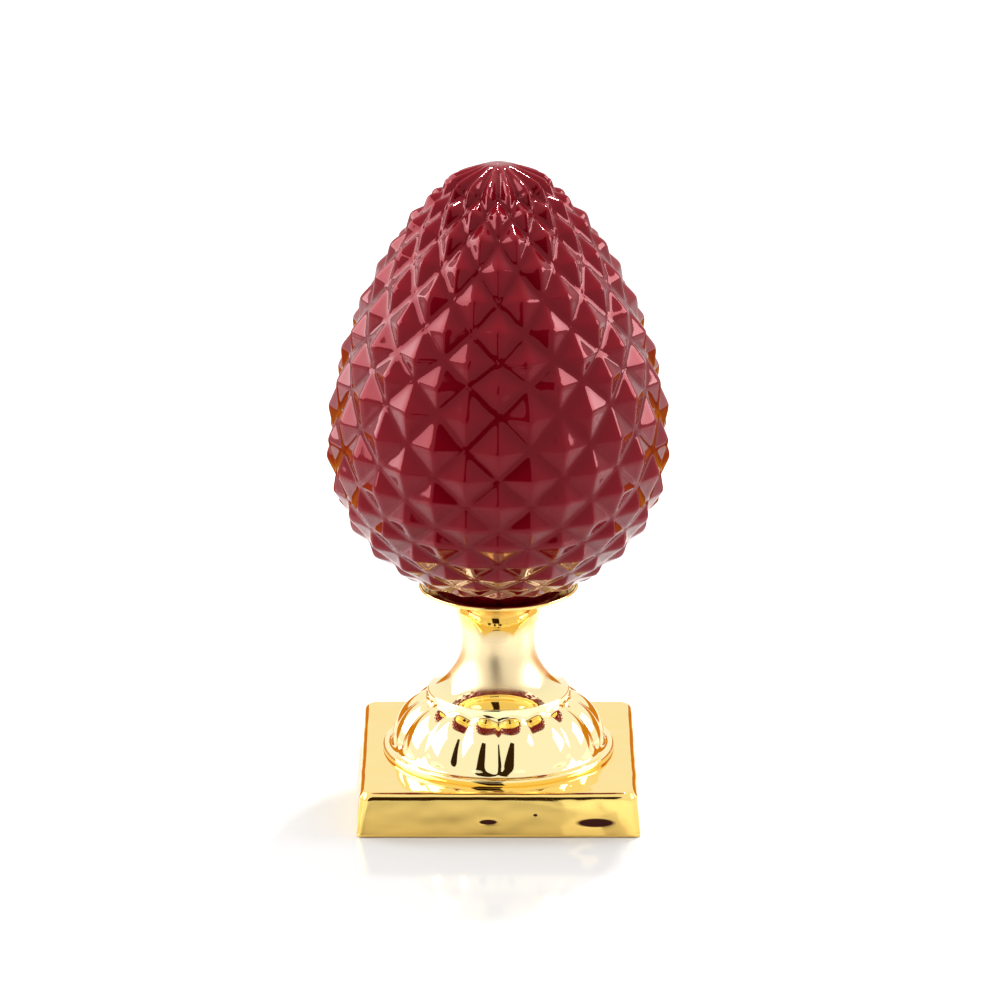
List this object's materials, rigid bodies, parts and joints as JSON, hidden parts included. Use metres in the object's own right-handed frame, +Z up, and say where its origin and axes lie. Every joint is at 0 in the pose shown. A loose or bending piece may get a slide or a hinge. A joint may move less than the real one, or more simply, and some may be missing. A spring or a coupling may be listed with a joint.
{
  "type": "pinecone finial",
  "caption": "Decorative pinecone finial: red glazed egg-shaped cone of pyramid studs in a small dish, on a gilded waisted stem, gadrooned dome and square plinth.",
  "frame": {"origin": "centre of the square underside of the plinth", "axes": "+Z up through the tip of the cone, -Y towards the front that the picture shows, +X to the right as seen from there"},
  "size_m": [0.132, 0.132, 0.25],
  "materials": {
    "red_glaze": "deep oxblood red glaze, high gloss",
    "gold_lustre": "fired gold lustre over glossy glaze, mirror bright"
  },
  "bodies": {
    "root": {"pinecone": "red_glaze", "pedestal_foot": "gold_lustre"}
  },
  "joints": []
}
